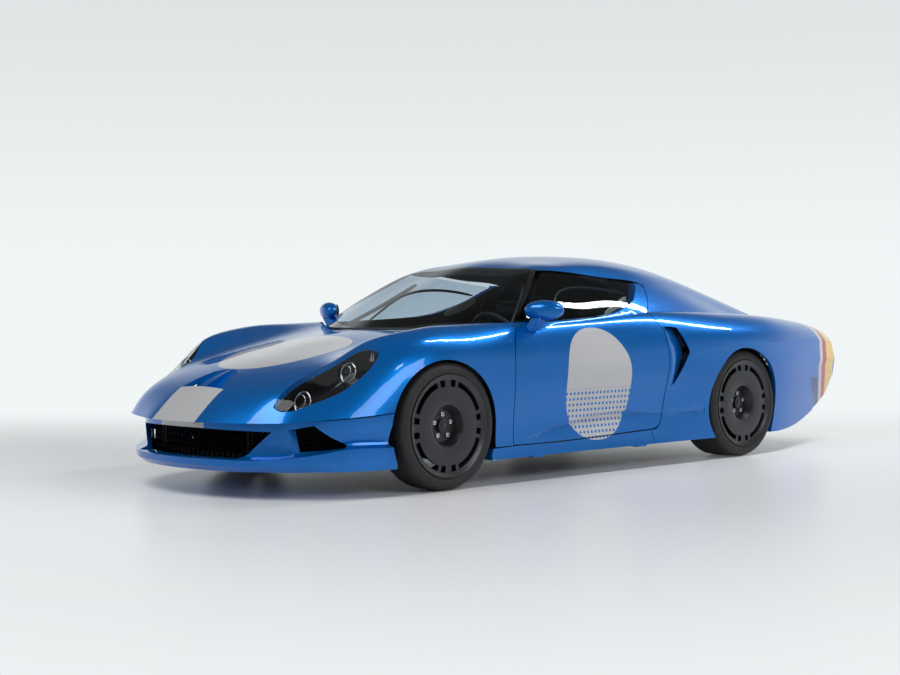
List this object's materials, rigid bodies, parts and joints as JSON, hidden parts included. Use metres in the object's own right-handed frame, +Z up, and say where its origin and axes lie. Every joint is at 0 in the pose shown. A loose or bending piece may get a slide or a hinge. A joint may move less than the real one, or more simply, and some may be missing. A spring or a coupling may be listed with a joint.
{
  "type": "mid-engined supercar",
  "caption": "Full-size two-seat mid-engined supercar with hinged front body, doors, engine lid, steering and rolling wheels.",
  "frame": {"origin": "on the ground under the middle of the car's length and width", "axes": "+X forward, +Y to the car's left, +Z up"},
  "size_m": [4.82, 1.9344, 1.1923],
  "materials": {
    "body_paint": "gloss metallic blue",
    "clear_lens": "clear",
    "lamp_dark": "dark gloss",
    "black_mesh": "matt",
    "tinted_glass": "dark tint",
    "black_trim": "satin",
    "red_lens": "gloss",
    "bright_steel": "polished",
    "tub_alloy": "natural",
    "frame_steel": "satin black",
    "cast_metal": "cast",
    "dark_leather": "grained",
    "cream_leather": "soft",
    "dark_alloy": "satin anthracite",
    "tyre": "matt rubber"
  },
  "bodies": {
    "chassis": {"front_bumper": "body_paint", "main_grille": "black_mesh", "vent_grilles": "black_mesh", "side_sills": "body_paint", "windscreen": "tinted_glass", "roof_panel": "body_paint", "windscreen_frame": "black_trim", "quarter_left": "body_paint", "quarter_right": "body_paint", "tail_section": "body_paint", "rear_grille": "black_mesh", "tail_lamps": "red_lens", "exhaust_tips": "bright_steel", "rear_diffuser": "black_trim", "underbody_panels": "black_trim", "floor_tub": "tub_alloy", "rear_bulkhead": "black_trim", "front_subframe": "frame_steel", "rear_subframe": "frame_steel", "engine_block": "cast_metal", "front_wishbones": "frame_steel", "rear_suspension": "cast_metal", "front_wheel_liners": "black_trim", "rear_wheel_liners": "black_trim", "dashboard": "dark_leather", "centre_console": "dark_leather", "seats": "cream_leather", "steering_wheel": "dark_leather"},
    "clamshell": {"front_clamshell": "body_paint", "headlamps": "lamp_dark", "headlamp_lenses": "clear_lens"},
    "left_door": {"door_left": "body_paint", "door_glass_left": "tinted_glass", "mirror_left": "body_paint"},
    "right_door": {"door_right": "body_paint", "door_glass_right": "tinted_glass", "mirror_right": "body_paint"},
    "engine_lid": {"engine_cover": "body_paint", "rear_window": "tinted_glass"},
    "left_knuckle": {"knuckle_left": "cast_metal"},
    "right_knuckle": {"knuckle_right": "cast_metal"},
    "front_left_wheel": {"wheel_front_left": "dark_alloy", "tyre_front_left": "tyre"},
    "front_right_wheel": {"wheel_front_right": "dark_alloy", "tyre_front_right": "tyre"},
    "rear_left_wheel": {"wheel_rear_left": "dark_alloy", "tyre_rear_left": "tyre"},
    "rear_right_wheel": {"wheel_rear_right": "dark_alloy", "tyre_rear_right": "tyre"}
  },
  "joints": [
    {"name": "clamshell_hinge", "type": "hinge", "parent": "chassis", "child": "clamshell", "pos_m": [2.35, 0, 0.2], "axis": [0, 1, 0], "range_deg": [0, 55]},
    {"name": "left_door_hinge", "type": "hinge", "parent": "chassis", "child": "left_door", "pos_m": [0.897, 0.876, 0.45], "axis": [0.05, 0.05, -0.9975], "range_deg": [0, 62]},
    {"name": "right_door_hinge", "type": "hinge", "parent": "chassis", "child": "right_door", "pos_m": [0.897, -0.876, 0.45], "axis": [-0.05, 0.05, 0.9975], "range_deg": [0, 62]},
    {"name": "engine_lid_hinge", "type": "hinge", "parent": "chassis", "child": "engine_lid", "pos_m": [-0.577, 0, 1.174], "axis": [0, 1, 0], "range_deg": [0, 50]},
    {"name": "left_steer", "type": "hinge", "parent": "chassis", "child": "left_knuckle", "pos_m": [1.385, 0.75, 0.316], "axis": [0, 0, 1], "range_deg": [-28, 28]},
    {"name": "right_steer", "type": "hinge", "parent": "chassis", "child": "right_knuckle", "pos_m": [1.385, -0.75, 0.316], "axis": [0, 0, 1], "range_deg": [-28, 28]},
    {"name": "front_left_spin", "type": "hinge", "parent": "left_knuckle", "child": "front_left_wheel", "pos_m": [1.385, 0.75, 0.316], "axis": [0, 1, 0], "continuous": true},
    {"name": "front_right_spin", "type": "hinge", "parent": "right_knuckle", "child": "front_right_wheel", "pos_m": [1.385, -0.75, 0.316], "axis": [0, 1, 0], "continuous": true},
    {"name": "rear_left_spin", "type": "hinge", "parent": "chassis", "child": "rear_left_wheel", "pos_m": [-1.035, 0.75, 0.316], "axis": [0, 1, 0], "continuous": true},
    {"name": "rear_right_spin", "type": "hinge", "parent": "chassis", "child": "rear_right_wheel", "pos_m": [-1.035, -0.75, 0.316], "axis": [0, 1, 0], "continuous": true}
  ],
  "couplings": [
    {"joint": "right_steer", "follows": "left_steer", "ratio": 1}
  ]
}
